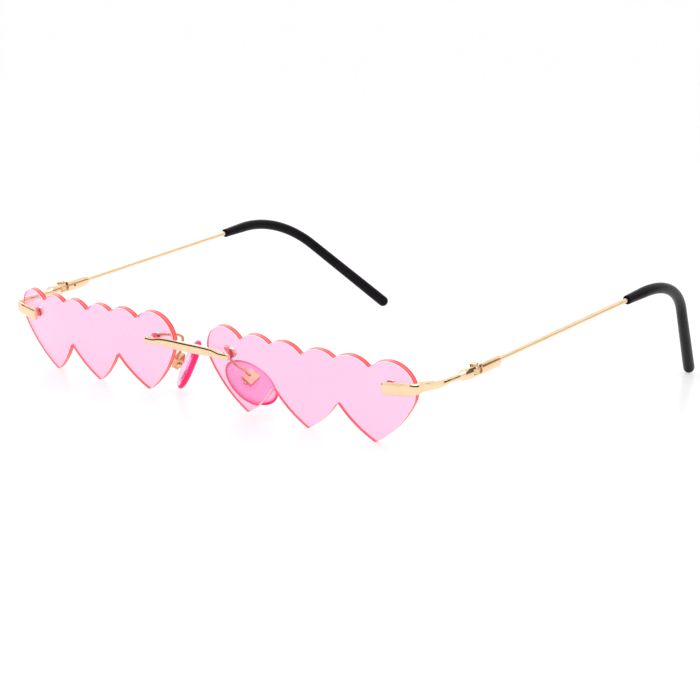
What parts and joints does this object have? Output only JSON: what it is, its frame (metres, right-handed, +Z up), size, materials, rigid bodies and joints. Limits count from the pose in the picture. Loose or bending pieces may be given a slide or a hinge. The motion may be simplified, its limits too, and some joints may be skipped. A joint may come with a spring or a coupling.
{
  "type": "heart shaped sunglasses",
  "caption": "Rimless sunglasses with tinted lenses cut as joined hearts, bar bridge, rocking nose pads and sprung folding temples.",
  "frame": {"origin": "on the table, in the middle plane of the face, halfway from the bridge to the tip ends, as the glasses stand open on their heart tips and temple ends", "axes": "+X towards the wearer's left, +Y back along the temples, +Z up"},
  "size_m": [0.1483, 0.1502, 0.0313],
  "materials": {
    "lens": "flat pink tint, polished, with bright red-orange cut edges",
    "frame_gold": "pale champagne gold plating, polished",
    "hinge_gold": "gold plating, a little darker in the joints",
    "nose_pad": "soft translucent pink silicone",
    "clear_plastic": "clear",
    "spring_steel": "bright drawn wire",
    "tip_black": "near-black, satin gloss"
  },
  "bodies": {
    "front": {"left_lens": "lens", "right_lens": "lens", "bridge": "frame_gold", "left_endpiece": "frame_gold", "right_endpiece": "frame_gold", "left_front_hinge": "frame_gold", "right_front_hinge": "frame_gold", "lens_bushings": "clear_plastic", "lens_washers": "clear_plastic", "lens_nuts": "frame_gold", "left_pad_arm": "frame_gold", "right_pad_arm": "frame_gold", "pad_screws": "hinge_gold", "left_hinge_screw": "hinge_gold", "right_hinge_screw": "hinge_gold"},
    "left_pad": {"left_nose_pad": "nose_pad", "left_pad_insert": "clear_plastic"},
    "left_slider": {"left_hinge_slider": "hinge_gold"},
    "left_temple": {"left_hinge_housing": "frame_gold", "left_flex_spring": "spring_steel", "left_spring_stop": "spring_steel", "left_lock_pin": "spring_steel", "left_temple_wire": "frame_gold", "left_temple_tip": "tip_black"},
    "right_pad": {"right_nose_pad": "nose_pad", "right_pad_insert": "clear_plastic"},
    "right_slider": {"right_hinge_slider": "hinge_gold"},
    "right_temple": {"right_hinge_housing": "frame_gold", "right_flex_spring": "spring_steel", "right_spring_stop": "spring_steel", "right_lock_pin": "spring_steel", "right_temple_wire": "frame_gold", "right_temple_tip": "tip_black"}
  },
  "joints": [
    {"name": "left_fold", "type": "hinge", "parent": "front", "child": "left_slider", "pos_m": [0.0713, -0.05126, 0.018], "axis": [-0.007, -0.1539, 0.9881], "range_deg": [-17.3, 84.7]},
    {"name": "left_slide", "type": "slide", "parent": "left_slider", "child": "left_temple", "axis": [-0.0476, 0.987, 0.1534], "range_m": [0, 0.00035], "stiffness_N_per_m": 500},
    {"name": "left_pad_rock", "type": "hinge", "parent": "front", "child": "left_pad", "pos_m": [0.0127, -0.06356, 0.0083], "axis": [-0.189, -0.7827, -0.593], "range_deg": [-14, 16]},
    {"name": "right_fold", "type": "hinge", "parent": "front", "child": "right_slider", "pos_m": [-0.0713, -0.05126, 0.018], "axis": [-0.007, 0.1539, -0.9881], "range_deg": [-12.4, 81.6]},
    {"name": "right_slide", "type": "slide", "parent": "right_slider", "child": "right_temple", "axis": [-0.0378, 0.9873, 0.154], "range_m": [0, 0.00035], "stiffness_N_per_m": 500},
    {"name": "right_pad_rock", "type": "hinge", "parent": "front", "child": "right_pad", "pos_m": [-0.0127, -0.06356, 0.0083], "axis": [-0.5867, 0.6539, 0.4777], "range_deg": [-2, 28]}
  ]
}
